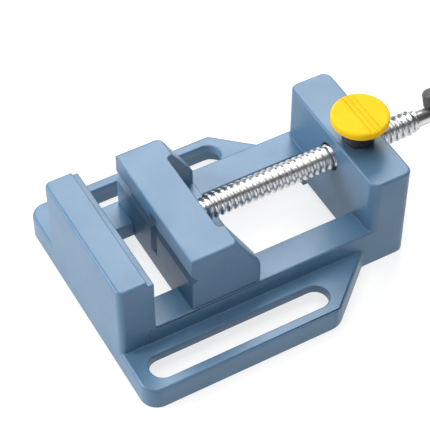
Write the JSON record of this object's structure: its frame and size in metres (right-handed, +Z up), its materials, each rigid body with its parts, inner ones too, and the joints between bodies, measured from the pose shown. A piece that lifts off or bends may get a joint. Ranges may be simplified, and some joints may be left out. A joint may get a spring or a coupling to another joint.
{
  "type": "drill press vise",
  "caption": "Low cast drill press vise with slotted flanges, a sliding jaw on two rails, a lead screw with a sliding bar, and a push-button quick release.",
  "frame": {"origin": "on the underside plane of the base casting, on the centre line between the rails, midway along the casting", "axes": "+X across the jaws, towards the side the release button is offset to; +Y along the screw from the fixed jaw to the handle; +Z up"},
  "size_m": [0.166, 0.2564, 0.0946],
  "materials": {
    "blue_paint": "satin blue-grey paint on a die casting",
    "bright_steel": "bright plated steel",
    "zinc_steel": "dull zinc plate",
    "spring_steel": "oiled spring steel",
    "grey_plastic": "fine matt moulding",
    "yellow_plastic": "semi-gloss moulding",
    "black_plastic": "semi-matt moulding"
  },
  "bodies": {
    "base": {"base_casting": "blue_paint", "spring_plug": "zinc_steel", "stop_pin": "zinc_steel", "release_spring": "spring_steel"},
    "jaw": {"moving_jaw": "blue_paint", "keeper_plate": "zinc_steel", "keeper_screws": "zinc_steel", "keeper_washers": "zinc_steel"},
    "screw": {"lead_screw": "bright_steel", "thrust_washer": "zinc_steel", "retaining_washer": "zinc_steel", "retaining_ring": "spring_steel"},
    "bar": {"tommy_bar": "bright_steel", "bar_cap_top": "grey_plastic", "bar_cap_bottom": "grey_plastic"},
    "button": {"release_button": "yellow_plastic", "button_collar": "black_plastic", "release_plunger": "bright_steel", "plunger_screw": "zinc_steel"}
  },
  "joints": [
    {"name": "jaw_slide", "type": "slide", "parent": "base", "child": "jaw", "axis": [0, 1, 0], "range_m": [-0.0248, 0.075]},
    {"name": "screw_turn", "type": "hinge", "parent": "jaw", "child": "screw", "pos_m": [0, -0.0285, 0.0535], "axis": [0, 1, 0], "range_deg": [-1985, 6001]},
    {"name": "bar_slide", "type": "slide", "parent": "screw", "child": "bar", "axis": [-0.342, 0, 0.9397], "range_m": [0, 0.035]},
    {"name": "button_press", "type": "slide", "parent": "base", "child": "button", "axis": [0, 0, 1], "range_m": [-0.0017, 0], "stiffness_N_per_m": 1500, "springref_m": 0.004, "deforming": ["release_spring"]}
  ],
  "couplings": [
    {"joint": "screw_turn", "follows": "jaw_slide", "rad_per_m": 1396.3}
  ]
}
